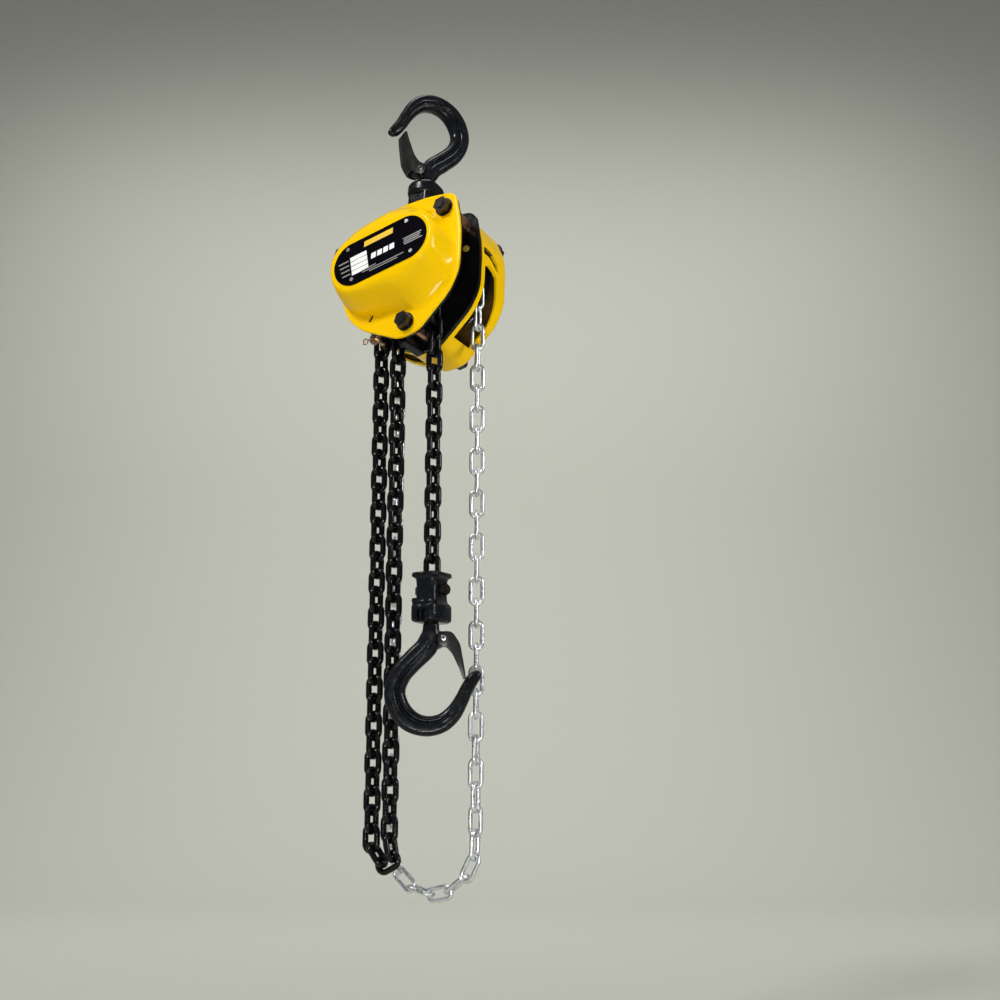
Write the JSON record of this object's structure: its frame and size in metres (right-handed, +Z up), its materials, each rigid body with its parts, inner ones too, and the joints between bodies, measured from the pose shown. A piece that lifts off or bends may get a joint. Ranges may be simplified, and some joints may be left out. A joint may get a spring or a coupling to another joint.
{
  "type": "chain hoist",
  "caption": "Hand chain hoist: yellow covers over side plates, load sheave and geared hand wheel, swivel hooks with sprung latches, black load chain and zinc hand chain loop.",
  "frame": {"origin": "the top hook's saddle, where the hoist hangs from a beam clamp or shackle", "axes": "+Z up, +Y the way the axle points at the hand wheel end, seen from above; the label faces -Y and +X is to its right"},
  "size_m": [0.1097, 0.106, 0.5733],
  "materials": {
    "yellow_enamel": "gloss",
    "black_paint": "satin",
    "label_black": "satin",
    "bright_steel": "satin",
    "zinc_chain": "bright zinc",
    "black_chain": "oiled black",
    "coppered_steel": "satin",
    "machined_steel": "machined",
    "friction_lining": "matt",
    "bronze_bush": "satin",
    "forged_black": "worn satin",
    "latch_steel": "olive grey, satin",
    "black_nut": "black oxide",
    "spring_steel": "bright"
  },
  "bodies": {
    "top_hook": {"top_hook": "forged_black", "top_latch_rivet": "bright_steel"},
    "top_latch": {"top_latch": "latch_steel", "top_latch_spring": "spring_steel"},
    "top_yoke": {"top_yoke_left": "forged_black", "top_yoke_right": "forged_black", "top_yoke_screws": "black_nut"},
    "frame": {"front_cover": "yellow_enamel", "label_plate": "label_black", "label_rivets": "bright_steel", "front_side_plate": "black_paint", "rear_side_plate": "black_paint", "stay_bolts": "black_nut", "stay_spacers": "coppered_steel", "stay_washers": "black_nut", "stay_nuts": "black_nut", "hand_wheel_cover": "yellow_enamel", "sheave_bearings": "machined_steel", "gear_arbors": "machined_steel", "gear_bushes": "bronze_bush", "ratchet_disc": "machined_steel", "friction_discs": "friction_lining", "pawl_pins": "machined_steel", "pawl_springs": "spring_steel", "chain_guide": "black_paint", "guide_spacer": "coppered_steel", "anchor_bracket": "black_paint", "plate_rivets": "bronze_bush", "anchor_pin": "black_nut", "anchor_cotter": "black_nut", "suspension_bar": "machined_steel", "bar_clip": "bright_steel", "load_chain_over_sheave": "black_chain", "hand_chain_over_wheel": "zinc_chain"},
    "load_sheave": {"load_sheave": "machined_steel", "load_gear": "machined_steel", "bearing_inner_rings": "machined_steel"},
    "intermediate_left": {"intermediate_gear_left": "machined_steel"},
    "intermediate_right": {"intermediate_gear_right": "machined_steel"},
    "hand_wheel": {"drive_shaft": "machined_steel", "brake_hub": "machined_steel", "hand_wheel": "black_paint", "wheel_washer": "bright_steel", "wheel_nut": "black_nut", "wheel_nut_cotter": "black_nut"},
    "pawl_upper": {"pawl_upper": "machined_steel"},
    "pawl_lower": {"pawl_lower": "machined_steel"},
    "hook_chain_top_link": {"hook_chain_top_link": "black_chain"},
    "hook_chain": {"hook_chain": "black_chain"},
    "lower_block": {"lower_block_left": "forged_black", "lower_block_right": "forged_black", "lower_block_screws": "black_nut", "chain_pin": "black_nut", "chain_pin_nut": "black_nut"},
    "lower_hook": {"lower_hook": "forged_black", "lower_latch_rivet": "bright_steel"},
    "lower_latch": {"lower_latch": "latch_steel", "lower_latch_spring": "spring_steel"},
    "load_chain_loop": {"load_chain_loop": "black_chain"},
    "hand_chain_loop": {"hand_chain_loop": "zinc_chain"}
  },
  "joints": [
    {"name": "top_latch_pivot", "type": "hinge", "parent": "top_hook", "child": "top_latch", "pos_m": [-0.0045, -0.01299, -0.05199], "axis": [-0.848, 0.5267, -0.0582], "range_deg": [0, 35], "stiffness_Nm_per_rad": 0.02, "springref_deg": -17.19},
    {"name": "top_hook_swivel", "type": "hinge", "parent": "top_hook", "child": "top_yoke", "pos_m": [0, -0.01019, -0.09234], "axis": [0, 0.1097, 0.994], "continuous": true},
    {"name": "yoke_pivot", "type": "hinge", "parent": "top_yoke", "child": "frame", "pos_m": [0, -0.01019, -0.09234], "axis": [0, 0.994, -0.1097], "range_deg": [-20, 20]},
    {"name": "load_sheave_spin", "type": "hinge", "parent": "frame", "child": "load_sheave", "pos_m": [-0.00077, -0.01525, -0.12813], "axis": [0, 0.994, -0.1097], "continuous": true},
    {"name": "intermediate_left_spin", "type": "hinge", "parent": "frame", "child": "intermediate_left", "pos_m": [-0.01917, -0.01573, -0.13242], "axis": [0, 0.994, -0.1097], "continuous": true},
    {"name": "intermediate_right_spin", "type": "hinge", "parent": "frame", "child": "intermediate_right", "pos_m": [0.01763, -0.01478, -0.12384], "axis": [0, 0.994, -0.1097], "continuous": true},
    {"name": "hand_wheel_spin", "type": "hinge", "parent": "frame", "child": "hand_wheel", "pos_m": [-0.00077, 0.01139, -0.13107], "axis": [0, 0.994, -0.1097], "continuous": true},
    {"name": "pawl_upper_pivot", "type": "hinge", "parent": "frame", "child": "pawl_upper", "pos_m": [-0.03727, 0.00342, -0.12124], "axis": [0, -0.994, 0.1097], "range_deg": [0, 15], "stiffness_Nm_per_rad": 0.01, "springref_deg": -17.19},
    {"name": "pawl_lower_pivot", "type": "hinge", "parent": "frame", "child": "pawl_lower", "pos_m": [0.03363, 0.00028, -0.14963], "axis": [0, -0.994, 0.1097], "range_deg": [0, 15], "stiffness_Nm_per_rad": 0.01, "springref_deg": -17.19},
    {"name": "hook_chain_side_swing", "type": "hinge", "parent": "frame", "child": "hook_chain_top_link", "pos_m": [0.01454, -0.01569, -0.20411], "axis": [0, -1, 0], "range_deg": [0, 10]},
    {"name": "hook_chain_rock", "type": "hinge", "parent": "hook_chain_top_link", "child": "hook_chain", "pos_m": [0.01454, -0.01569, -0.22011], "axis": [1, 0, 0], "range_deg": [-4.5, 0.5]},
    {"name": "lower_block_rock", "type": "hinge", "parent": "hook_chain", "child": "lower_block", "pos_m": [0.01454, -0.01569, -0.35957], "axis": [1, 0, 0], "range_deg": [-6, 1]},
    {"name": "lower_hook_swivel", "type": "hinge", "parent": "lower_block", "child": "lower_hook", "pos_m": [0.01454, -0.01569, -0.35957], "axis": [0, 0, 1], "range_deg": [-5, 5]},
    {"name": "lower_latch_pivot", "type": "hinge", "parent": "lower_hook", "child": "lower_latch", "pos_m": [0.0219, -0.01144, -0.39137], "axis": [-0.5, 0.866, 0], "range_deg": [0, 35], "stiffness_Nm_per_rad": 0.02, "springref_deg": -17.19},
    {"name": "load_chain_loop_swing", "type": "hinge", "parent": "frame", "child": "load_chain_loop", "pos_m": [-0.01607, -0.01569, -0.20413], "axis": [0.9068, -0.0002, 0.4215], "range_deg": [-1.8, 1]},
    {"name": "hand_chain_loop_swing", "type": "hinge", "parent": "frame", "child": "hand_chain_loop", "pos_m": [0.03214, 0.01221, -0.21362], "axis": [0.9842, 0.0194, 0.176], "range_deg": [-1, 6]}
  ],
  "couplings": [
    {"joint": "hand_wheel_spin", "follows": "load_sheave_spin", "ratio": 8},
    {"joint": "intermediate_left_spin", "follows": "load_sheave_spin", "ratio": -2.5},
    {"joint": "intermediate_right_spin", "follows": "load_sheave_spin", "ratio": -2.5}
  ]
}
